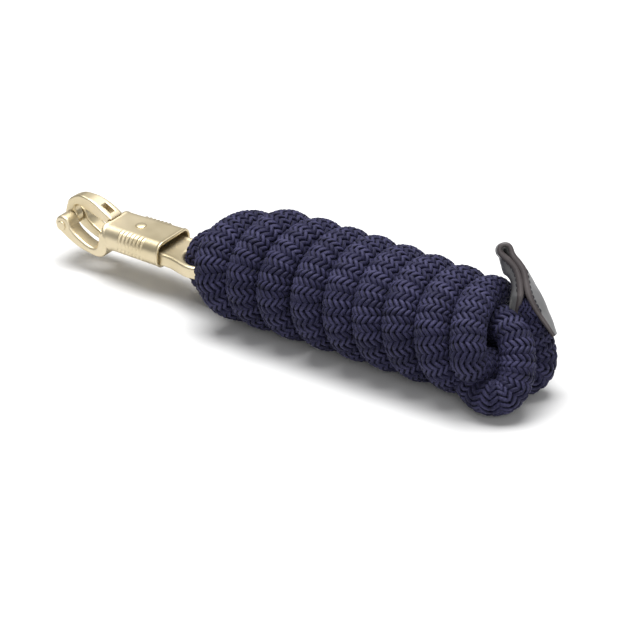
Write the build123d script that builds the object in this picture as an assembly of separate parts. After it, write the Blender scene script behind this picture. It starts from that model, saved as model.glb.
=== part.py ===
from build123d import *
import math
import os

os.makedirs("parts", exist_ok=True)

# Lead rope, wrapped up into a hank, with a slide-sleeve snap at one end and a
# folded leather tab at the other. Millimetres, +Z up, the hank lies on the
# floor along X: the snap is at -X, the rope's end loop and tab are at +X.

# ---- driving dimensions -------------------------------------------------
rope_d = 19.0
rope_cad_d = 18.6
wraps = 9
wrap_pitch = 19.45
hank_half_w = 38.0
hank_half_h = 31.5
hank_mid_z = 31.0
hank_x0 = -42.8
rim_round = 7.0

snap_x = -153.4
snap_z = 24.0
snap_half = 12.5
slot_half = 3.5
rivet_r = 2.0
run_gap = 0.05
eye_x = 92.2
eye_r = 16.5
eye_hole_r = 11.5
shank_lo = -4.7
shank_hi = 2.3
shank_flare = 0.9

sleeve_travel = 10.0
sleeve_wall = 1.6
sleeve_lo = -6.6
sleeve_hi = 8.2
sleeve_end = 69.5
sleeve_half_l = 14.4
sleeve_half_r = 15.6
pin_x = 47.0
pin_r = 2.0
slot_x0 = 44.6
slot_x1 = 66.0
slot_w = 5.4
spring_r = 2.5
spring_wire = 0.7

tab_w = 22.0
tab_t = 3.0


def at_snap(shape):
    # moves a shape from the rivet's own frame to the part's frame
    return Pos(snap_x, 0, snap_z) * shape


def slab(points, y0, y1):
    # profile points are (x, z); the slab fills y0 to y1
    ring = [(x, y0, z) for x, z in points]
    face = make_face(Polyline(*ring, close=True))
    return extrude(face, amount=y1 - y0, dir=(0, 1, 0))


def plan(points, z0, z1):
    # plan points are (x, y); the block fills z0 to z1
    ring = [(x, y, z0) for x, y in points]
    face = make_face(Polyline(*ring, close=True))
    return extrude(face, amount=z1 - z0, dir=(0, 0, 1))


def y_rod(x, z, r, y0, y1):
    rod = Cylinder(r, y1 - y0, rotation=(90, 0, 0))
    return Pos(x, (y0 + y1) / 2, z) * rod


def z_rod(x, y, r, z0, z1):
    return Pos(x, y, (z0 + z1) / 2) * Cylinder(r, z1 - z0)


def save(shape, name):
    shape.label = name
    export_step(shape, "parts/" + name + ".step")
    box = shape.bounding_box()
    print(name, "volume", round(shape.volume, 1), "valid", shape.is_valid)
    print("   x %.2f %.2f  y %.2f %.2f  z %.2f %.2f" % (
        box.min.X, box.max.X, box.min.Y, box.max.Y, box.min.Z, box.max.Z))


# ---- snap body: forked hook, plate, shank and flat rope eye --------------
hook = [
    (-3.6, 1.4), (-2.7, -1.2), (-0.4, -4.1), (3.6, -7.0), (9.4, -9.7),
    (13.7, -11.2), (24.5, -13.2), (28.9, -11.9), (31.3, -8.6), (31.6, -5.9),
    (33.0, shank_hi), (33.0, 4.0), (26.4, 4.0), (25.5, -5.2), (23.2, -8.2),
    (18.0, -7.7), (12.2, -4.75), (8.2, -2.35), (4.6, 2.6), (2.0, 4.5),
]
arm = slab(hook, -snap_half, snap_half)
arm += y_rod(0.6, 1.0, 4.9, -snap_half, snap_half)
fork = Box(40, 2 * slot_half, 40, align=(Align.MAX, Align.CENTER, Align.CENTER))
arm -= Pos(25.4, 0, 0) * fork
arm -= y_rod(0, 0, rivet_r, -snap_half, snap_half)

shank_plan = [
    (30.0, -snap_half), (80.0, -snap_half - shank_flare), (eye_x, -eye_r + 2.5),
    (eye_x, eye_r - 2.5), (80.0, snap_half + shank_flare), (30.0, snap_half),
]
shank = plan(shank_plan, shank_lo, shank_hi)
side_edges = shank.edges().filter_by(lambda e: abs(e.center().Y) > 12.0)
low_edges = side_edges.filter_by(lambda e: e.center().Z < shank_lo + 0.1)
shank = fillet(low_edges, 2.8)
side_edges = shank.edges().filter_by(lambda e: abs(e.center().Y) > 12.0)
top_edges = side_edges.filter_by(lambda e: e.center().Z > shank_hi - 0.1)
shank = fillet(top_edges, 0.8)
disc = z_rod(eye_x, 0, eye_r, shank_lo, shank_hi)
disc = fillet(disc.edges().filter_by(GeomType.CIRCLE), 1.8)
shank += disc
eye_hole = z_rod(eye_x, 0, eye_hole_r, shank_lo - 1, shank_hi + 1)
shank -= eye_hole
hole_rims = shank.edges().filter_by(GeomType.CIRCLE).filter_by(
    lambda e: abs(e.radius - eye_hole_r) < 0.01)
shank = fillet(hole_rims, 2.3)
pin_slot = Pos((slot_x0 + slot_x1) / 2, 0, 0) * Box(slot_x1 - slot_x0, slot_w, 30)
snap_body = at_snap((arm + shank) - pin_slot)
save(snap_body, "snap_body")

# ---- gate, in the middle of the fork --------------------------------------
gate_half = 3.0
gate_line = [
    (-4.3, 2.5), (-3.8, 5.6), (-2.8, 8.9), (-1.8, 12.4), (2.3, 15.4), (7.1, 17.4),
    (14.6, 16.4), (19.4, 14.6), (26.3, 10.9), (28.3, 9.3), (28.3, 5.0),
    (29.1, 4.9), (29.1, 4.2), (26.6, 4.2), (25.6, 7.1), (22.2, 7.4), (16.0, 9.25),
    (9.9, 10.7), (5.1, 11.8), (2.3, 9.75), (2.6, 6.0), (4.6, 2.5),
]
gate = slab(gate_line, -gate_half, gate_half)
gate += y_rod(0, 1.0, 4.4, -gate_half, gate_half)
gate -= y_rod(0, 0, rivet_r + run_gap, -gate_half, gate_half)
gate_window = Pos(22.6, 0, 10) * Box(4.4, 2.6, 20)
snap_gate = at_snap(gate - gate_window)
save(snap_gate, "snap_gate")

# ---- rivet through both prongs and the gate -------------------------------
head = 0.8
rivet = y_rod(0, 0, rivet_r, -snap_half, snap_half)
rivet += y_rod(0, 0, rivet_r + 0.9, -snap_half - head, -snap_half)
rivet += y_rod(0, 0, rivet_r + 0.9, snap_half, snap_half + head)
hinge_rivet = at_snap(rivet)
save(hinge_rivet, "hinge_rivet")


# ---- sliding sleeve round the shank ---------------------------------------
def sleeve_half(x):
    share = (x - 29.0) / (sleeve_end - 29.0)
    return sleeve_half_l + (sleeve_half_r - sleeve_half_l) * share


def sleeve_core(inset, x0, x1, z0, z1, low_round, top_round):
    h0 = sleeve_half(x0) - inset
    h1 = sleeve_half(x1) - inset
    block = plan([(x0, -h0), (x1, -h1), (x1, h1), (x0, h0)], z0, z1)
    for level, rnd in ((z0, low_round), (z1, top_round)):
        long_edges = block.edges().filter_by(lambda e: e.length > 20)
        rim = long_edges.filter_by(lambda e: abs(e.center().Z - level) < 0.01)
        block = fillet(rim.filter_by(lambda e: abs(e.center().Y) > 5), rnd)
    return block


shell = sleeve_core(0.0, 28.0, sleeve_end, sleeve_lo, sleeve_hi, 6.0, 6.6)
bore = sleeve_core(sleeve_wall, 20.0, sleeve_end + 5, -5.0, 6.6, 3.2, 4.0)
slant = slab([(20, 20), (28.6, 20), (28.6, 6.6), (30.6, 1.4), (33.4, -6.6),
              (33.4, -20), (20, -20)], -30, 30)
sleeve = shell - slant
for i in range(7):
    rib_x = 42.0 + 2.6 * i
    for side in (-1, 1):
        rib_y = side * (sleeve_half(rib_x) - 0.25)
        sleeve += z_rod(rib_x, rib_y, 0.75, -2.2, 3.8)
sleeve -= bore
sleeve -= z_rod(pin_x, 0, pin_r, -20, 20)
sleeve_node = at_snap(sleeve)
save(sleeve_node, "sleeve")

# ---- pin that ties the sleeve to its slot, and the hidden return spring ---
pin = z_rod(pin_x, 0, pin_r, sleeve_lo, sleeve_hi)
dome = Pos(pin_x, 0, sleeve_hi) * Cylinder(
    3.3, 1.0, align=(Align.CENTER, Align.CENTER, Align.MIN))
pin += fillet(dome.edges().filter_by(lambda e: e.center().Z > sleeve_hi + 0.5), 0.8)
save(at_snap(pin), "sleeve_pin")

spring_x0 = pin_x + pin_r + 0.1
spring_len = slot_x1 - 0.1 - spring_x0
spring_mid = (shank_lo + shank_hi) / 2
coil = Cylinder(spring_r, spring_len) - Cylinder(spring_r - spring_wire, spring_len)
coil = Pos(spring_x0 + spring_len / 2, 0, spring_mid) * Rot(0, 90, 0) * coil
save(at_snap(coil), "sleeve_spring")


# ---- rope ------------------------------------------------------------------
def tube(points, radii, r, name):
    path = FilletPolyline(*points, radius=radii)
    start = Plane(origin=path @ 0, z_dir=path % 0)
    body = sweep(start * Circle(r), path=path)
    want = math.pi * r * r * path.length
    print(name, "arc radii", radii, "length", round(path.length, 1),
          "volume / section x length", round(body.volume / want, 4))
    return body


eye_run_x = snap_x + eye_x - 1.5
eye_mid_z = snap_z + (shank_lo + shank_hi) / 2
leg = 13.2
eye_route = [
    (hank_x0 + 14.0, 0.0, eye_mid_z + leg), (eye_run_x, 0.0, eye_mid_z + leg),
    (eye_run_x, 0.0, eye_mid_z - leg), (hank_x0 + 14.0, 0.0, eye_mid_z - leg),
]
rope_eye = tube(eye_route, [13.1, 13.1], 9.0, "rope_eye")
save(rope_eye, "rope_eye")

# the hank: one rounded ring for each wrap, fused, with a flat it rests on
hank = None
for i in range(wraps):
    ring_face = Plane.YZ * Ellipse(hank_half_w, hank_half_h)
    ring = extrude(ring_face, amount=wrap_pitch, dir=(1, 0, 0))
    ring = fillet(ring.edges().filter_by(lambda e: e.length > 100), rim_round)
    ring = Pos(hank_x0 + wrap_pitch * i, 0, hank_mid_z) * ring
    hank = ring if hank is None else hank + ring
hank_x1 = hank_x0 + wrap_pitch * wraps
under = Box(400, 200, 20, align=(Align.CENTER, Align.CENTER, Align.MAX))
hank -= under
save(hank, "rope_hank")

# the end of the hank: the core runs' bight in front, the tail's turn behind
end_x = 152.7


def block(x0, x1, y0, y1, z0, z1, rnd):
    box = Pos((x0 + x1) / 2, (y0 + y1) / 2, (z0 + z1) / 2) * Box(x1 - x0, y1 - y0, z1 - z0)
    edges = box.edges().filter_by(lambda e: e.center().X > x0 + 0.1)
    return fillet(edges, rnd)


knot = block(hank_x1, end_x - 1.2, -33.0, 3.0, 1.0, 43.0, 9.0)
knot += block(hank_x1, end_x, -6.0, 27.0, 0.6, 41.0, 9.0)
save(knot, "rope_end_knot")

tail_top = (135.5, 10.8, 51.5)
tail_foot = (136.5, 13.0, 38.0)
rope_tail = tube([tail_foot, (136.1, 12.4, 44.0), tail_top], [60.0],
                 rope_cad_d / 2, "rope_tail")
save(rope_tail, "rope_tail")

# ---- leather tab, folded over the rope's end --------------------------------
tab_plane = Plane(origin=(135.2, 11.0, 50.0), x_dir=(0.8387, 0.5446, 0),
                  z_dir=(0.4786, -0.7370, 0.4772))
tab_line = [
    (14.4, -16.0), (12.6, -9.5), (9.6, -3.2), (5.6, 3.0), (1.6, 9.0), (-2.7, 17.4),
    (-6.2, 25.0), (-7.7, 28.8), (-9.3, 31.4), (-11.7, 32.2), (-13.8, 30.6),
    (-13.2, 27.7), (-9.3, 23.6), (-5.6, 15.9), (-1.6, 7.6), (-1.9, 1.0), (-2.4, -4.0),
]


def offset_line(points, shift):
    out = []
    for i in range(len(points)):
        a = points[max(i - 1, 0)]
        b = points[min(i + 1, len(points) - 1)]
        dx = b[0] - a[0]
        dy = b[1] - a[1]
        size = math.hypot(dx, dy)
        out.append((points[i][0] - dy / size * shift, points[i][1] + dx / size * shift))
    return out


outer = offset_line(tab_line, -tab_t / 2)
inner = offset_line(tab_line, tab_t / 2)
strip = make_face(Polyline(*(outer + inner[::-1]), close=True))
end_tab = tab_plane * extrude(strip, amount=tab_w / 2, both=True)
save(end_tab, "end_tab")

# stitches: short threads through both layers, just above the rope's end
stitches = []
for k in range(5):
    across = -8.0 + 4.0 * k
    for along in (9.3, 12.2):
        mid_r = 1.6 - (along - 9.0) * 0.51 - 1.4
        thread = Pos(mid_r, along - 0.7, across) * Rot(0, 0, -27) * Box(7.0, 0.9, 1.8)
        stitches.append(tab_plane * thread)
save(Compound(children=stitches), "tab_stitching")
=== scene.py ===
import math

import bpy
import numpy as np
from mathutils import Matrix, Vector


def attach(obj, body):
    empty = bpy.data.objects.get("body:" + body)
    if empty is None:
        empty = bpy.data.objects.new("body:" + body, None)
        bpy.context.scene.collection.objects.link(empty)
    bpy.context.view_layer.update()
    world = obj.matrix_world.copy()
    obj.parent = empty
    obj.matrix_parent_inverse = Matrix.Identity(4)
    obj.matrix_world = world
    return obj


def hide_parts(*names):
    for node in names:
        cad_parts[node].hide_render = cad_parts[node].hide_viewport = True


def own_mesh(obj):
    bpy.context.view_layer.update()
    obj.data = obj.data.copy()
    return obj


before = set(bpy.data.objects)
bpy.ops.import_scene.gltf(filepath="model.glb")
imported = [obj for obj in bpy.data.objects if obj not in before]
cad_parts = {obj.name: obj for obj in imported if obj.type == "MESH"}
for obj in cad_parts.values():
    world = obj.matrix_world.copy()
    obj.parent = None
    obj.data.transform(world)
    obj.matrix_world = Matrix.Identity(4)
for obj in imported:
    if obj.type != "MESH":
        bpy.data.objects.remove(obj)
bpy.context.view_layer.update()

MM = 0.001
BODY = "rope_and_snap"
SCENE = bpy.context.scene


def vec(*mm):
    return Vector(mm) * MM


# ---------------------------------------------------------------- camera ----
# The camera stands at the photograph's viewing angle, 1.6 m away with a long lens.
AZIMUTH = math.radians(33.0)
ELEVATION = math.radians(28.5)
BACK = Vector((math.sin(AZIMUTH) * math.cos(ELEVATION),
               -math.cos(AZIMUTH) * math.cos(ELEVATION), math.sin(ELEVATION)))
RIGHT = Vector((math.cos(AZIMUTH), math.sin(AZIMUTH), 0))
UP = BACK.cross(RIGHT)
LOOK_MID = vec(41.2, 0, 31)
camera_data = bpy.data.cameras.new("camera")
camera_data.sensor_width = 36
camera_data.lens = 174.4
camera_data.clip_end = 20
camera = bpy.data.objects.new("camera", camera_data)
camera.location = LOOK_MID + BACK * 1.6
aim = LOOK_MID - RIGHT * 0.02802 - UP * 0.00636
camera.rotation_euler = (aim - camera.location).to_track_quat("-Z", "Y").to_euler()
SCENE.collection.objects.link(camera)
SCENE.camera = camera


# ------------------------------------------------------------- materials ----
class Nodes:
    """Small helper that adds shader nodes and links them."""

    def __init__(self, name):
        self.mat = bpy.data.materials.new(name)
        self.mat.use_nodes = True
        self.tree = self.mat.node_tree
        self.bsdf = self.tree.nodes["Principled BSDF"]

    def add(self, kind, **inputs):
        node = self.tree.nodes.new("ShaderNode" + kind)
        for key, value in inputs.items():
            name = key.replace("_", " ")
            if isinstance(value, bpy.types.NodeSocket):
                self.tree.links.new(value, node.inputs[name])
            else:
                node.inputs[name].default_value = value
        return node

    def link(self, out, name):
        self.tree.links.new(out, self.bsdf.inputs[name])

    def value(self, name, number):
        self.bsdf.inputs[name].default_value = number

    def math(self, operation, a, b):
        node = self.tree.nodes.new("ShaderNodeMath")
        node.operation = operation
        for slot, value in zip(node.inputs, (a, b)):
            if isinstance(value, bpy.types.NodeSocket):
                self.tree.links.new(value, slot)
            else:
                slot.default_value = value
        return node.outputs[0]

    def ramp(self, fac, stops):
        node = self.tree.nodes.new("ShaderNodeValToRGB")
        ramp = node.color_ramp
        while len(ramp.elements) < len(stops):
            ramp.elements.new(0.5)
        for element, (place, colour) in zip(ramp.elements, stops):
            element.position = place
            element.color = colour
        self.tree.links.new(fac, node.inputs["Fac"])
        return node.outputs["Color"]

    def bump(self, height, strength, distance, under=None):
        node = self.add("Bump", Height=height, Strength=strength, Distance=distance)
        if under is not None:
            self.tree.links.new(under, node.inputs["Normal"])
        return node.outputs["Normal"]

    def spot(self, kind="Object"):
        return self.tree.nodes.new("ShaderNodeTexCoord").outputs[kind]


def grey(level):
    return (level, level, level, 1)


def rope_material():
    """Dark navy yarn; a strand's UV map holds metres along the rope and turns round the strand."""
    n = Nodes("navy_braid")
    uv = n.spot("UV")
    spot = n.spot()
    parts = n.add("SeparateXYZ", Vector=uv)
    along = n.math("MULTIPLY", parts.outputs["X"], 700.0)
    across = n.math("MULTIPLY", parts.outputs["Y"], 12.566)
    twist = n.math("SINE", n.math("ADD", along, across), 0.0)
    fibre = n.add("TexNoise", Vector=spot, Scale=1500.0, Detail=3.0, Roughness=0.7)
    cloud = n.add("TexNoise", Vector=spot, Scale=60.0, Detail=2.0)
    lift = n.math("ADD", n.math("MULTIPLY", twist, 0.14), fibre.outputs["Fac"])
    lift = n.math("ADD", lift, n.math("MULTIPLY", cloud.outputs["Fac"], 0.35))
    # painted light and shade: each strand is painted lighter on its outer face and darker on its
    # inner face, where it sinks into the braid's shaded grooves
    painted_light_and_shade = n.math("SINE", n.math("MULTIPLY", parts.outputs["Y"], 6.2832), 0.0)
    lift = n.math("ADD", lift, n.math("MULTIPLY", painted_light_and_shade, 0.28))
    # the tone mixes the yarn's twist, fibre and cloud marks with the painted light and shade round
    # each strand
    tone = n.ramp(n.math("SUBTRACT", lift, 0.21), [
        (0.34, (0.0008, 0.0006, 0.005, 1)), (0.66, (0.0110, 0.0102, 0.036, 1)),
        (0.98, (0.041, 0.039, 0.092, 1))])
    n.link(tone, "Base Color")
    n.value("Roughness", 0.68)
    n.value("Specular IOR Level", 0.22)
    n.value("Sheen Weight", 0.045)
    n.value("Sheen Roughness", 0.45)
    n.value("Sheen Tint", (0.55, 0.57, 0.8, 1))
    first = n.bump(n.math("MULTIPLY", twist, 0.5), 0.55, 0.00022)
    n.link(n.bump(fibre.outputs["Fac"], 0.5, 0.0002, first), "Normal")
    return n.mat


def core_material():
    n = Nodes("rope_core_shadow")
    noise = n.add("TexNoise", Vector=n.spot(), Scale=900.0, Detail=2.0)
    tone = n.ramp(noise.outputs["Fac"], [
        (0.3, (0.001, 0.001, 0.004, 1)), (0.7, (0.003, 0.0025, 0.009, 1))])
    n.link(tone, "Base Color")
    n.value("Roughness", 0.95)
    n.value("Specular IOR Level", 0.1)
    n.link(n.bump(noise.outputs["Fac"], 0.6, 0.0002), "Normal")
    return n.mat


def brass_material():
    n = Nodes("satin_pale_brass")
    spot = n.spot()
    stain = n.add("TexNoise", Vector=spot, Scale=45.0, Detail=3.0)
    grain = n.add("TexNoise", Vector=spot, Scale=900.0, Detail=2.0)
    tone = n.ramp(stain.outputs["Fac"], [
        (0.35, (0.64, 0.55, 0.365, 1)), (0.65, (0.71, 0.62, 0.44, 1))])
    n.link(tone, "Base Color")
    n.value("Metallic", 1.0)
    rough = n.math("MULTIPLY", stain.outputs["Fac"], 0.16)
    n.link(n.math("ADD", rough, 0.37), "Roughness")
    n.link(n.bump(grain.outputs["Fac"], 0.12, 0.00008), "Normal")
    return n.mat


def steel_material():
    n = Nodes("spring_wire")
    noise = n.add("TexNoise", Vector=n.spot(), Scale=400.0, Detail=2.0)
    n.link(n.ramp(noise.outputs["Fac"], [(0.3, grey(0.35)), (0.7, grey(0.5))]), "Base Color")
    n.value("Metallic", 1.0)
    n.value("Roughness", 0.35)
    return n.mat


def leather_material(name, dark, light):
    n = Nodes(name)
    spot = n.spot()
    pores = n.add("TexVoronoi", Vector=spot, Scale=1300.0)
    crease = n.add("TexNoise", Vector=spot, Scale=260.0, Detail=4.0, Roughness=0.65)
    cloud = n.add("TexNoise", Vector=spot, Scale=70.0, Detail=2.0)
    n.link(n.ramp(cloud.outputs["Fac"], [(0.3, dark), (0.7, light)]), "Base Color")
    rough = n.math("MULTIPLY", crease.outputs["Fac"], 0.3)
    n.link(n.math("ADD", rough, 0.32), "Roughness")
    n.value("Specular IOR Level", 0.5)
    first = n.bump(pores.outputs["Distance"], 0.25, 0.00012)
    n.link(n.bump(crease.outputs["Fac"], 0.35, 0.0003, first), "Normal")
    return n.mat


def thread_material():
    n = Nodes("waxed_thread")
    spot = n.spot()
    noise = n.add("TexNoise", Vector=spot, Scale=1600.0, Detail=2.0)
    tone = n.ramp(noise.outputs["Fac"], [
        (0.3, (0.006, 0.006, 0.009, 1)), (0.7, (0.02, 0.02, 0.026, 1))])
    n.link(tone, "Base Color")
    n.value("Roughness", 0.6)
    n.link(n.bump(noise.outputs["Fac"], 0.6, 0.0002), "Normal")
    return n.mat


ROPE = rope_material()
CORE = core_material()
BRASS = brass_material()
STEEL = steel_material()
LEATHER = leather_material("tab_leather", (0.10, 0.10, 0.102, 1), (0.19, 0.19, 0.192, 1))
LEATHER_EDGE = leather_material("tab_edge", (0.033, 0.026, 0.027, 1), (0.078, 0.067, 0.068, 1))
THREAD = thread_material()


# ------------------------------------------------------------ mesh tools ----
def piece(name, mesh, material, body=BODY):
    obj = bpy.data.objects.new(name, mesh)
    SCENE.collection.objects.link(obj)
    mesh.materials.append(material)
    mesh.shade_smooth()
    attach(obj, body)
    return obj


def grid_mesh(name, grids, uv=None):
    """Closed tubes from point grids (rows x columns x 3), where each row is a ring."""
    count = len(grids)
    rows, cols = grids[0].shape[:2]
    points = np.concatenate([g.reshape(-1, 3) for g in grids])
    r, c = np.meshgrid(np.arange(rows - 1), np.arange(cols), indexing="ij")
    d = (c + 1) % cols
    quad = np.stack([r * cols + c, r * cols + d, (r + 1) * cols + d, (r + 1) * cols + c], -1)
    quads = np.concatenate([quad.reshape(-1, 4) + k * rows * cols for k in range(count)])
    mesh = bpy.data.meshes.new(name)
    mesh.vertices.add(len(points))
    mesh.vertices.foreach_set("co", points.astype(np.float32).ravel())
    ends = []
    for k in range(count):
        base = k * rows * cols
        ends.append(np.arange(cols)[::-1] + base)
        ends.append(np.arange(cols) + base + (rows - 1) * cols)
    loops = np.concatenate([quads.ravel()] + ends)
    starts = np.concatenate([np.arange(len(quads)) * 4,
                             len(quads) * 4 + np.arange(len(ends)) * cols])
    mesh.loops.add(len(loops))
    mesh.loops.foreach_set("vertex_index", loops.astype(np.int32))
    mesh.polygons.add(len(starts))
    mesh.polygons.foreach_set("loop_start", starts.astype(np.int32))
    if uv is not None:
        layer = mesh.uv_layers.new(name="along")
        both = np.concatenate([u.reshape(-1, 2) for u in uv])[loops]
        layer.data.foreach_set("uv", both.astype(np.float32).ravel())
    mesh.update(calc_edges=True)
    mesh.validate()
    return mesh


# ------------------------------------------------------------------ rope ----
WRAPS = 9
PITCH = 19.45
HANK_START = -45.25
HANK_MID_Z = 31.9
TURN_POINTS = 16
# control points lie a little outside the curve that they make
SPREAD = 1.0 / (0.75 + 0.25 * math.cos(2 * math.pi / TURN_POINTS))
WRAP_Y = 27.9 * SPREAD
WRAP_Z = 22.3 * SPREAD

EYE_ROUTE = [
    (-22, -1, 22), (-33, 1, 12), (-44.2, 0.5, 9.7), (-56.0, 0, 9.7), (-64.1, -0.5, 17.4),
    (-64.1, -0.5, 28.2), (-56.0, 0, 35.9), (-43, -3, 35.9),
]
CORE_OUT = [(-20, -9.5, 31), (5, -9.7, 31), (35, -9.3, 31), (65, -9.6, 31), (93, -9.5, 31)]
BIGHT = [
    (106, -10.5, 28), (116, -16.8, 18), (127.5, -22.3, 12), (136.3, -22.6, 11.2),
    (142.6, -17.6, 13.4), (143.8, -10.6, 22), (138.8, -3.6, 36), (129.5, 2, 41.5), (118, 8, 38),
]
CORE_BACK = [(106, 9.5, 31), (80, 9.6, 31), (50, 9.3, 31), (20, 9.6, 31), (-14, 9.6, 31)]
TURN = [(-30, 13, 31), (-40, 22, 27)]
TAIL = [
    (124.0, -28.2, 33), (123.8, -24.5, 27.5), (123.8, -15, 24.5), (127, -5, 19.5),
    (132, 3, 12.8), (138.5, 6, 10), (142.8, 12.5, 14), (141.3, 15.8, 24), (136.6, 13.0, 35.5),
    (135.1, 11.0, 55.5),
]
# how far each wrap's front and top stray from an even helix: (turns, mm)
LEAN = [(0, 4.5), (1, 5.8), (2, 5.0), (3, 2.4), (4, 0.8), (5, 1.1), (6, 1.3), (7, 0.2), (8, -2.8)]
TOP_X = [(0, -8.2), (1, 0), (3, 0), (4, -1.7), (5, -3.4), (6, -5.3), (7, -6.6), (8, -7.2)]
TOP_Z = [(0, -8.5), (1, 1.3), (4, 1.2), (6, 0), (7, -1.2), (8, -2.0)]


def reading(table, at):
    return float(np.interp(at, [row[0] for row in table], [row[1] for row in table]))


def wrap_point(turns):
    angle = 2 * math.pi * turns
    near_top = ((1 + math.cos(angle)) / 2) ** 2
    x = HANK_START + PITCH * (0.5 + turns) - reading(LEAN, turns - 0.25) * math.sin(angle)
    x += reading(TOP_X, turns) * near_top
    z = HANK_MID_Z + WRAP_Z * math.cos(angle) + reading(TOP_Z, turns) * near_top
    return (x, -WRAP_Y * math.sin(angle), z)


# the wraps run on by this share of a turn at both ends
RUN_ON = 0.19
FIRST = -RUN_ON
LAST = WRAPS - 1 + RUN_ON
steps = int(round((LAST - FIRST) * TURN_POINTS))
WRAP_ROUTE = [wrap_point(FIRST + (LAST - FIRST) * i / steps) for i in range(steps + 1)]
ROUTE = EYE_ROUTE + CORE_OUT + BIGHT + CORE_BACK + TURN + WRAP_ROUTE + TAIL


def smooth_line(route, name):
    """The points of the route's own NURBS curve, in metres."""
    curve = bpy.data.curves.new(name, "CURVE")
    curve.dimensions = "3D"
    curve.resolution_u = 12
    spline = curve.splines.new("NURBS")
    spline.points.add(len(route) - 1)
    for point, place in zip(spline.points, route):
        point.co = (*vec(*place), 1)
    spline.order_u = 3
    spline.use_endpoint_u = True
    obj = bpy.data.objects.new(name, curve)
    SCENE.collection.objects.link(obj)
    mesh = bpy.data.meshes.new_from_object(obj)
    line = np.array([v.co[:] for v in mesh.vertices])
    bpy.data.objects.remove(obj)
    bpy.data.curves.remove(curve)
    bpy.data.meshes.remove(mesh)
    return line


def even(line, step):
    gaps = np.linalg.norm(np.diff(line, axis=0), axis=1)
    line = line[np.concatenate([[True], gaps > 1e-7])]
    run = np.concatenate([[0], np.cumsum(np.linalg.norm(np.diff(line, axis=0), axis=1))])
    count = int(run[-1] / step) + 1
    at = np.linspace(0, run[-1], count)
    return np.stack([np.interp(at, run, line[:, k]) for k in range(3)], 1), at


def settled(line, rounds):
    for _ in range(rounds):
        line[1:-1] = 0.25 * line[:-2] + 0.5 * line[1:-1] + 0.25 * line[2:]
    return line


def unit(v):
    return v / np.linalg.norm(v, axis=-1, keepdims=True)


def frames(line):
    """Tangents and a pair of normals carried along the line without twist."""
    tangent = unit(np.gradient(line, axis=0))
    normal = np.zeros_like(line)
    n = np.cross(tangent[0], (0.0, 1.0, 0.0))
    for i, t in enumerate(tangent):
        n = n - t * np.dot(n, t)
        n = n / np.linalg.norm(n)
        normal[i] = n
    return tangent, normal, np.cross(tangent, normal)


rope_line, _ = even(smooth_line(ROUTE, "route"), 0.001)
rope_line = settled(rope_line, 3)
rope_line, rope_run = even(rope_line, 0.001)
rope_length = float(rope_run[-1])

# the rope's last centimetres narrow towards its end inside the tab
NARROWS = 0.020
CORE_R = 0.0071
STRANDS = 16
LAY = 0.051
MID_R = 0.00785
WEAVE = 0.00088
HALF_W = 0.00112
HALF_T = 0.00096
SIDES = 10


def fullness(run):
    left = np.clip((rope_length - run) / NARROWS, 0, 1)
    return 0.2 + 0.8 * np.sqrt(1 - (1 - left) ** 2)


def strand_grid(line, run, axes, index, way):
    """One flat strand of the braid: it goes over two strands and under two."""
    tangent, normal, side = axes
    turn = 2 * math.pi / STRANDS
    angle = index * turn + way * 2 * math.pi * run / LAY
    wave = np.cos(math.pi / 2 * run * (2 * STRANDS / LAY))
    over = way * np.tanh(1.6 * wave) / math.tanh(1.6)
    full = fullness(run)
    radius = (MID_R + WEAVE * over) * full
    out = np.cos(angle)[:, None] * normal + np.sin(angle)[:, None] * side
    centre = line + radius[:, None] * out
    heading = unit(np.gradient(centre, axis=0))
    across = unit(np.cross(heading, out))
    lift = np.cross(across, heading)
    psi = 2 * math.pi * np.arange(SIDES) / SIDES
    cos_p, sin_p = np.cos(psi), np.sin(psi)
    wide = HALF_W * np.sign(cos_p) * np.abs(cos_p) ** 0.8
    high = HALF_T * np.sign(sin_p) * np.abs(sin_p) ** 0.7
    squeeze = ((0.9 + 0.16 * over) * full)[:, None, None]
    grid = (centre[:, None] + across[:, None] * wide[None, :, None] * squeeze
            + lift[:, None] * high[None, :, None] * np.sqrt(full)[:, None, None])
    u = np.broadcast_to(run[:, None], grid.shape[:2])
    v = np.broadcast_to(np.arange(SIDES) / SIDES, grid.shape[:2])
    return grid, np.stack([u, v], -1)


def build_rope():
    axes = frames(rope_line)
    ring = 2 * math.pi * np.arange(40) / 40
    around = (np.cos(ring)[None, :, None] * axes[1][:, None]
              + np.sin(ring)[None, :, None] * axes[2][:, None])
    thin = slice(None, None, 2)
    tube = rope_line[thin, None] + (CORE_R * fullness(rope_run))[thin, None, None] * around[thin]
    core = piece("rope_core", grid_mesh("rope_core", [tube]), CORE)
    bundle = 4
    for way, word in ((1, "left"), (-1, "right")):
        for group in range(STRANDS // bundle):
            made = [strand_grid(rope_line, rope_run, axes, group * bundle + k, way)
                    for k in range(bundle)]
            name = "rope_strands_%s_%d" % (word, group + 1)
            mesh = grid_mesh(name, [m[0] for m in made], [m[1] for m in made])
            piece(name, mesh, ROPE)
    return core


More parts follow.
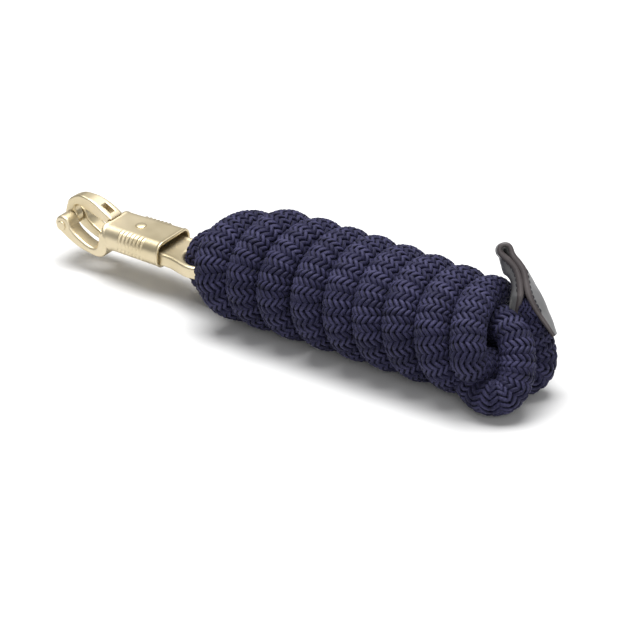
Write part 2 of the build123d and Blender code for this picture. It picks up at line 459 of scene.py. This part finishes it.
# ------------------------------------------------------------------- tab ----
# The strip's middle line in the tab's own plane, right leg's end first, with
# how far the middle of the strip bulges out round the rope's end.
TAB_AT = vec(135.2, 11, 50) - BACK * 0.004
TAB_LINE = [
    (13.8, -15.2, 1.6), (12.1, -12.7, 2.4), (9.6, -8.9, 3.6), (6.4, -4.6, 4.6), (3.8, -0.5, 5.4),
    (1.6, 3.7, 5.2), (0.0, 8.3, 4.2), (-1.0, 13.5, 2.6), (-2.1, 18.7, 0.6), (-4.4, 22.3, 0),
    (-6.8, 24.9, -0.3), (-8.2, 27.3, -1.4), (-8.7, 29.6, -2.4), (-9.6, 31.4, -2.2),
    (-11.6, 32.1, -1.6), (-13.7, 31.5, -2.2), (-14.8, 29.8, -2.4), (-14.2, 27.6, -1.0),
    (-12.0, 25.6, 1.6), (-9.0, 23.2, 4.0), (-6.2, 20.0, 5.0), (-4.7, 16.1, 3.0),
    (-3.9, 12.0, 2.2), (-3.5, 7.3, 2.6), (-3.9, 3.2, 3.0), (-4.8, -1.0, 3.0), (-5.4, -8.0, 3.0),
]
TAB_HALF_W = 11.0
TAB_HALF_T = 1.75
# shares of the half width: where the stitches run and the bulge ends, and the rounded edge
SEAM = 0.86
ROUNDED = 0.12
STITCH_PITCH = 2.7
STITCH_LENGTH = 1.9
STITCH_POINTS = 9
THREAD_R = 0.35


def in_tab(u, v, w):
    return np.array(TAB_AT) + MM * (u[..., None] * np.array(RIGHT) + v[..., None] * np.array(UP)
                                    + w[..., None] * np.array(BACK))


def tab_grid():
    """Rows run along the strip; columns run round its section."""
    line = np.array(TAB_LINE, float)
    for _ in range(3):
        mid = np.stack([0.75 * line[:-1] + 0.25 * line[1:], 0.25 * line[:-1] + 0.75 * line[1:]], 1)
        line = np.concatenate([line[:1], mid.reshape(-1, 3), line[-1:]])
    way = unit(np.gradient(line[:, :2], axis=0))
    out = np.stack([way[:, 1], -way[:, 0]], 1)
    across = np.linspace(-1, 1, 15)
    bend = np.linspace(-90, 90, 7)[1:-1] * math.pi / 180
    near = np.stack([1 - ROUNDED * (1 - np.cos(bend)), -np.sin(bend)], 1)
    far = np.stack([-1 + ROUNDED * (1 - np.cos(bend)), np.sin(bend)], 1)
    face = np.stack([across * (1 - ROUNDED), np.ones_like(across)], 1)
    back = np.stack([-across * (1 - ROUNDED), -np.ones_like(across)], 1)
    ring = np.concatenate([face, near, back, far])
    thin = np.interp(line[:, 1], [-15, 0, 6, 24, 28, 31], [0.6, 0.8, 1.0, 1.0, 0.85, 0.72])
    bulge = line[:, 2, None] * np.clip(1 - (ring[None, :, 0] / SEAM) ** 2, 0, 1) ** 0.7
    lift = bulge + TAB_HALF_T * thin[:, None] * ring[None, :, 1]
    u = line[:, 0, None] + out[:, 0, None] * lift
    v = line[:, 1, None] + out[:, 1, None] * lift
    # the short leg's near edge draws in behind the bight
    drawn = np.where(np.arange(len(line)) > len(line) * 0.6, np.clip((5 - line[:, 1]) / 8, 0, 1), 0)
    w = TAB_HALF_W * ring[None, :, 0] - 4.5 * drawn[:, None] * (ring[None, :, 0] > 0.5)
    return in_tab(u, v, w), line, out, len(across), len(bend)


def build_tab():
    grid, line, out, wide, turned = tab_grid()
    mesh = grid_mesh("leather_tab", [grid])
    obj = piece("leather_tab", mesh, LEATHER)
    mesh.materials.append(LEATHER_EDGE)
    cols = grid.shape[1]
    column = np.arange(len(mesh.polygons)) % cols
    rim = (column >= wide - 1) & (column < wide + turned)
    rim |= column >= 2 * wide + turned - 1
    rim[(grid.shape[0] - 1) * cols:] = True
    mesh.polygons.foreach_set("material_index", rim.astype(np.int32))
    run = np.concatenate([[0], np.cumsum(np.linalg.norm(np.diff(line[:, :2], axis=0), axis=1))])
    stitches = []
    for first, last in ((14.3, 38.3), (64.0, 84.0)):
        for start in np.arange(first, last, STITCH_PITCH):
            for side in (1, -1):
                at = start + np.linspace(0, STITCH_LENGTH, STITCH_POINTS)
                place = side * SEAM
                # each stitch dips into the leather at both ends
                away = TAB_HALF_T + 0.12 - 0.45 * np.linspace(-1, 1, STITCH_POINTS) ** 4
                mid = [np.interp(at, run, line[:, k]) + away * np.interp(at, run, out[:, k])
                       for k in (0, 1)]
                centre = in_tab(mid[0], mid[1], np.full(STITCH_POINTS, TAB_HALF_W * place))
                heading = unit(np.gradient(centre, axis=0))
                one = unit(np.cross(heading, np.array(BACK)))
                two = np.cross(heading, one)
                spin = np.arange(8) * math.pi / 4
                stitches.append(centre[:, None] + THREAD_R * MM * (
                    np.cos(spin)[None, :, None] * one[:, None]
                    + np.sin(spin)[None, :, None] * two[:, None]))
    sewn = piece("tab_stitches", grid_mesh("tab_stitches", stitches), THREAD)
    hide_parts("end_tab")
    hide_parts("tab_stitching")
    return obj


rope_core = build_rope()
tab = build_tab()
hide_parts("rope_hank", "rope_eye", "rope_end_knot", "rope_tail")


# ------------------------------------------------------------------ snap ----
# The cast pieces are sampled distance fields, in millimetres from the rivet:
# x along the snap, y across it, z up. A field is negative inside the metal.
SNAP_AT = np.array((-153.4, 0.0, 24.0))
PIN_X = 47.0
EYE_X = 92.2
EYE_R = 16.3
HOLE_X = 91.8
HOLE_R = 12.2
SLOT_X = 55.3
SLOT_HALF = 10.7
SLEEVE_ENDS = (29.0, 69.5)
SLEEVE_Z = 0.8
SLEEVE_HALF_H = 7.4
SLEEVE_WALL = 1.6
RIB_PITCH = 2.6


def eased(points, reach=1.6, rounds=3):
    """A closed outline with its corners cut back into curves."""
    ring = np.array(points, float)
    for _ in range(rounds):
        span = np.roll(ring, -1, axis=0) - ring
        size = np.linalg.norm(span, axis=1, keepdims=True)
        cut = np.minimum(0.25 * size, reach) / size
        ring = np.stack([ring + span * cut, ring + span * (1 - cut)], 1).reshape(-1, 2)
        reach /= 2
    return ring


def polygon(points, a, b):
    shape = np.broadcast_shapes(a.shape, b.shape)
    gap = np.full(shape, 1e9)
    inside = np.zeros(shape, bool)
    for (a0, b0), (a1, b1) in zip(points, np.roll(points, -1, axis=0)):
        da, db = a1 - a0, b1 - b0
        t = np.clip(((a - a0) * da + (b - b0) * db) / (da * da + db * db), 0, 1)
        gap = np.minimum(gap, (a - a0 - t * da) ** 2 + (b - b0 - t * db) ** 2)
        if abs(db) > 1e-9:
            inside ^= ((b0 > b) != (b1 > b)) & (a < a0 + (b - b0) * da / db)
    return np.where(inside, -1, 1) * np.sqrt(gap)


def disc(a, b, at_a, at_b, r):
    return np.hypot(a - at_a, b - at_b) - r


def slab(flat, t, half, r):
    p = flat + r
    q = np.abs(t) - half + r
    return np.minimum(np.maximum(p, q), 0) + np.hypot(np.maximum(p, 0), np.maximum(q, 0)) - r


def joined(a, b, k):
    h = np.clip(0.5 + 0.5 * (b - a) / k, 0, 1)
    return b + (a - b) * h - k * h * (1 - h)


def carved(a, b, k):
    return -joined(-a, b, k)


def block(low, high, step):
    return np.meshgrid(*[np.arange(a, b + step, step) for a, b in zip(low, high)],
                       indexing="ij", sparse=True)


def skin(name, field, low, step):
    """A quad mesh on the field's zero surface, one point in each cell it crosses."""
    cells = tuple(n - 1 for n in field.shape)
    total = np.zeros(cells + (3,))
    count = np.zeros(cells)
    found = []
    for axis in range(3):
        p, q = (axis + 1) % 3, (axis + 2) % 3
        a = np.delete(field, -1, axis)
        b = np.delete(field, 0, axis)
        cross = (a < 0) != (b < 0)
        at = np.argwhere(cross)
        place = at.astype(float)
        place[:, axis] += a[cross] / (a[cross] - b[cross])
        corners = []
        for dp, dq in ((1, 1), (0, 1), (0, 0), (1, 0)):
            cell = at.copy()
            cell[:, p] -= dp
            cell[:, q] -= dq
            np.add.at(total, tuple(cell.T), place)
            np.add.at(count, tuple(cell.T), 1)
            corners.append(cell)
        found.append((corners, a[cross] < 0))
    used = count > 0
    ids = np.full(cells, -1)
    ids[used] = np.arange(int(used.sum()))
    points = (total[used] / count[used][:, None] * step + np.array(low) + SNAP_AT) * MM
    quads = []
    for corners, ahead in found:
        quad = np.stack([ids[tuple(c.T)] for c in corners], 1)
        quads.append(np.where(ahead[:, None], quad, quad[:, ::-1]))
    quads = np.concatenate(quads)
    mesh = bpy.data.meshes.new(name)
    mesh.vertices.add(len(points))
    mesh.vertices.foreach_set("co", points.astype(np.float32).ravel())
    mesh.loops.add(quads.size)
    mesh.loops.foreach_set("vertex_index", quads.astype(np.int32).ravel())
    mesh.polygons.add(len(quads))
    mesh.polygons.foreach_set("loop_start", (np.arange(len(quads)) * 4).astype(np.int32))
    mesh.update(calc_edges=True)
    return mesh


HOOK = [
    (-3.6, 1.4), (-2.7, -1.2), (-0.4, -4.1), (3.6, -7.0), (9.4, -9.7), (13.7, -11.2),
    (24.5, -13.2), (28.9, -11.9), (31.3, -8.6), (31.6, -5.9), (33.0, 2.3), (33.0, 4.0),
    (26.4, 4.0), (25.5, -5.2), (23.2, -8.2), (18.0, -7.7), (12.2, -4.75), (8.2, -2.35),
    (4.6, 2.6), (2.0, 4.5),
]
SHANK = [(30, -12.5), (80, -13.4), (92.2, -14), (92.2, 14), (80, 13.4), (30, 12.5)]
GATE = [
    (-4.3, 2.5), (-4.0, 5.6), (-3.0, 8.9), (-1.8, 12.4), (2.3, 15.4), (7.1, 17.4), (14.6, 16.9),
    (19.4, 15.4), (26.3, 12.0), (30.2, 9.6), (30.2, 8.7), (28.2, 8.5), (28.2, 5.0), (29.1, 4.9),
    (29.1, 4.2), (26.6, 4.2), (25.6, 6.4), (22.2, 6.7), (16.0, 8.3), (9.9, 9.6), (5.1, 10.6),
    (2.6, 9.2), (2.6, 6.0), (4.6, 2.5),
]


def body_mesh():
    step, low = 0.36, (-6, -18, -15)
    x, y, z = block(low, (111, 18, 7), step)
    profile = joined(polygon(eased(HOOK), x, z), disc(x, z, 0.6, 1.0, 4.9), 1.5)
    arm = slab(profile, y, 12.5, 1.5)
    arm = carved(arm, np.maximum(np.abs(y) - 3.5, x - 25.4), 1.0)
    flat = joined(polygon(eased(SHANK), x, y), disc(x, y, EYE_X, 0, EYE_R), 7.0)
    shank = slab(flat, z + 1.0, 3.7, 1.5)
    pocket = np.maximum(np.maximum(flat + 2.9, 2.2 - z), 60 - x)
    shank = carved(shank, pocket, 0.5)
    shank = carved(shank, disc(x, y, HOLE_X, 0, HOLE_R), 2.4)
    shank = carved(shank, np.maximum(np.abs(y) - 2.7, np.abs(x - SLOT_X) - SLOT_HALF), 0.5)
    return skin("cast_snap_body", joined(arm, shank, 1.2), low, step)


def gate_mesh():
    step, low = 0.25, (-6, -6.5, -5)
    x, y, z = block(low, (32, 6.5, 19), step)
    profile = joined(polygon(eased(GATE, 1.2), x, z), disc(x, z, 0, 1.0, 4.4), 1.5)
    wide = 2.4 * np.clip((x - 3) / 20, 0, 1) * np.clip((z - 4.6) / 2, 0, 1)
    gate = slab(profile, y / (1 + wide / 3.0), 3.0, 0.9)
    gate = carved(gate, np.maximum(np.abs(y) - 1.9, np.abs(x - 24.2) - 3.0), 0.6)
    return skin("cast_gate", gate, low, step)


def rivet_mesh():
    step, low = 0.2, (-4, -14, -4)
    x, y, z = block(low, (4, 14, 4), step)
    heads = slab(disc(x, z, 0, 0, 2.9), y, 13.3, 0.7)
    waist = np.maximum(1.95 - np.hypot(x, z), np.abs(y) - 12.0)
    return skin("domed_rivet", carved(heads, waist, 0.2), low, step)


def sleeve_mesh():
    step, low = 0.33, (26, -18, -8)
    x, y, z = block(low, (72, 18, 10.5), step)
    front, rear = SLEEVE_ENDS
    half = 14.4 + 1.2 * (x - front) / (rear - front)
    top = z > SLEEVE_Z

    def section(inset, low_round, top_round):
        r = np.where(top, top_round, low_round)
        p = np.abs(y) - half + inset + r
        q = np.abs(z - SLEEVE_Z) - SLEEVE_HALF_H + inset + r
        inner = np.minimum(np.maximum(p, q), 0)
        return inner + np.hypot(np.maximum(p, 0), np.maximum(q, 0)) - r

    # the front edge reaches further forward at the top than at the bottom
    edge = np.interp(z, [-6.6, 1.4, 6.6, 8.2], [33.4, 30.6, 28.6, 28.4])
    outer = section(0, 6.0, 6.6)
    collar = np.clip((edge + 2.6 - x) / 0.8, 0, 1)
    rim = np.clip((x - rear + 1.9) / 0.8, 0, 1)
    wave = np.maximum(0, np.cos(2 * math.pi * (x - 42.0) / RIB_PITCH)) * (np.abs(x - 49.8) < 8.6)
    grip = np.clip((np.abs(y) - half + 8.0) / 1.5, 0, 1)
    grip = grip * (np.clip((8.0 - z) / 0.8, 0, 1) * np.clip((z - 0.6) / 1.4, 0, 1)
                   + 0.7 * np.clip((-0.8 - z) / 1.2, 0, 1) * np.clip((z + 5.2) / 1.2, 0, 1))
    outer = outer - 0.3 * collar - 0.3 * rim - 0.8 * wave ** 0.8 * grip
    shell = carved(outer, rear - x, 0.9)
    shell = carved(shell, (x - edge) * 0.94, 0.9)
    shell = carved(shell, section(SLEEVE_WALL, 3.2, 4.0), 0.8)
    return skin("cast_sleeve", shell, low, step)


def pin_mesh():
    step, low = 0.2, (42, -5, -8)
    x, y, z = block(low, (52, 5, 10.4), step)
    away = np.hypot(x - PIN_X, y)
    dome = (np.hypot(away / 3.3, (z - 8.2) / 1.0) - 1) * 1.0
    dome = np.maximum(dome, 8.0 - z)
    return skin("domed_pin", joined(slab(away - 2.0, z - 0.8, 7.3, 0.3), dome, 0.3), low, step)


def spring_mesh():
    """A coil of wire between the pin and the blind end of its slot."""
    turns, x0, x1 = 9, 49.5, 65.5
    coil_r, wire_r = 2.1, 0.35
    t = np.linspace(0, 1, turns * 24 + 1)
    spin = 2 * math.pi * turns * t
    centre = np.stack([x0 + (x1 - x0) * t, coil_r * np.cos(spin), -1.2 + coil_r * np.sin(spin)], 1)
    heading = unit(np.gradient(centre, axis=0))
    one = unit(np.cross(heading, (1.0, 0.0, 0.0)))
    two = np.cross(heading, one)
    ring = np.arange(8) * math.pi / 4
    tube = centre[:, None] + wire_r * (np.cos(ring)[None, :, None] * one[:, None]
                                       + np.sin(ring)[None, :, None] * two[:, None])
    return grid_mesh("wire_spring", [(tube + SNAP_AT) * MM])


def build_snap():
    made = [
        (body_mesh, "snap_body", "rope_and_snap", BRASS), (gate_mesh, "snap_gate", "gate", BRASS),
        (rivet_mesh, "hinge_rivet", "rope_and_snap", BRASS), (sleeve_mesh, "sleeve", "sleeve", BRASS),
        (pin_mesh, "sleeve_pin", "sleeve", BRASS),
        (spring_mesh, "sleeve_spring", "rope_and_snap", STEEL),
    ]
    for make, node, body, look in made:
        mesh = make()
        obj = piece(mesh.name, mesh, look, body)
        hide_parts(node)
        if node == "sleeve_spring":
            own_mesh(obj)


build_snap()


# ------------------------------------------------------- floor and lights ----
def floor_material():
    n = Nodes("pale_floor")
    noise = n.add("TexNoise", Vector=n.spot(), Scale=30.0, Detail=2.0)
    tone = n.ramp(noise.outputs["Fac"], [(0.3, grey(0.65)), (0.7, grey(0.67))])
    n.link(tone, "Base Color")
    n.value("Roughness", 0.9)
    n.value("Specular IOR Level", 0.1)
    return n.mat


floor_mesh = bpy.data.meshes.new("floor")
floor_mesh.from_pydata([(-4, -4, 0), (4, -4, 0), (4, 4, 0), (-4, 4, 0)], [], [(0, 1, 2, 3)])
floor_mesh.materials.append(floor_material())
floor = bpy.data.objects.new("floor", floor_mesh)
SCENE.collection.objects.link(floor)

world = bpy.data.worlds.new("studio")
world.use_nodes = True
world.node_tree.nodes["Background"].inputs["Color"].default_value = (1, 1, 1, 1)
world.node_tree.nodes["Background"].inputs["Strength"].default_value = 0.27
SCENE.world = world


def lamp(name, place, target, size, power):
    data = bpy.data.lights.new(name, "AREA")
    data.shape = "RECTANGLE"
    data.size, data.size_y = size
    data.energy = power
    obj = bpy.data.objects.new(name, data)
    obj.location = place
    turn = (Vector(target) - Vector(place)).to_track_quat("-Z", "Y")
    obj.rotation_euler = turn.to_euler()
    SCENE.collection.objects.link(obj)


lamp("key", (-0.10, 0.12, 1.2), (0, 0, 0.02), (1.0, 0.9), 29)
lamp("fill", (0.9, -1.0, 0.8), (0, 0, 0.03), (1.0, 0.7), 7)
SCENE.view_settings.view_transform = "Standard"
